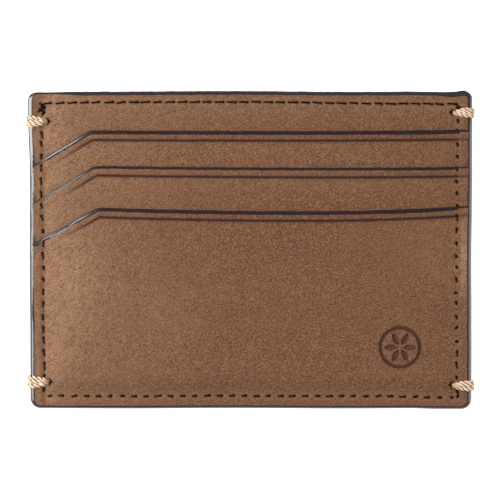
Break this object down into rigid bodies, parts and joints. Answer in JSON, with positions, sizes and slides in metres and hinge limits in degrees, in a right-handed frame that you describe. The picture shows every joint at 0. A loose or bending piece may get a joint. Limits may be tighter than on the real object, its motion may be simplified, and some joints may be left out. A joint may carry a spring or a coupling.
{
  "type": "card wallet",
  "caption": "Slim flat leather card holder with stacked slanted slots on each side, an open-top centre pocket, painted edges and corded corner tacks.",
  "frame": {"origin": "centre of the wallet's outline, on the surface it lies on, under the back outer pocket", "axes": "+X to the right across the front, +Y towards the top edge and the pocket mouths, +Z out of the front face"},
  "size_m": [0.1028, 0.0724, 0.0062],
  "materials": {
    "brown_leather": "matt pull-up nubuck, warm mid brown, lighter where it has been rubbed",
    "edge_paint": "burnished near-black brown edge paint",
    "lining_textile": "fine dark brown plain weave",
    "seam_tape": "dark brown bonded tape",
    "brown_thread": "twisted dark brown bonded sewing thread",
    "cream_cord": "waxed cream cord, hard twisted"
  },
  "bodies": {
    "root": {"front_panel": "brown_leather", "back_panel": "brown_leather", "front_lining": "lining_textile", "back_lining": "lining_textile", "front_pocket_upper": "brown_leather", "front_pocket_middle": "brown_leather", "front_pocket_lower": "brown_leather", "back_pocket_upper": "brown_leather", "back_pocket_middle": "brown_leather", "back_pocket_lower": "brown_leather", "front_backing_upper": "lining_textile", "front_backing_middle": "lining_textile", "back_backing_upper": "lining_textile", "back_backing_middle": "lining_textile", "centre_seam_tape": "seam_tape", "front_seam_tape_upper": "seam_tape", "front_seam_tape_middle": "seam_tape", "front_seam_tape_lower": "seam_tape", "back_seam_tape_upper": "seam_tape", "back_seam_tape_middle": "seam_tape", "back_seam_tape_lower": "seam_tape", "front_top_thread": "brown_thread", "back_top_thread": "brown_thread", "side_seam_front_thread": "brown_thread", "side_seam_back_thread": "brown_thread", "front_stop_thread_upper": "brown_thread", "front_stop_thread_lower": "brown_thread", "back_stop_thread_upper": "brown_thread", "back_stop_thread_lower": "brown_thread", "tack_top_left": "cream_cord", "tack_top_right": "cream_cord", "tack_bottom_left": "cream_cord", "tack_bottom_right": "cream_cord"}
  },
  "joints": []
}
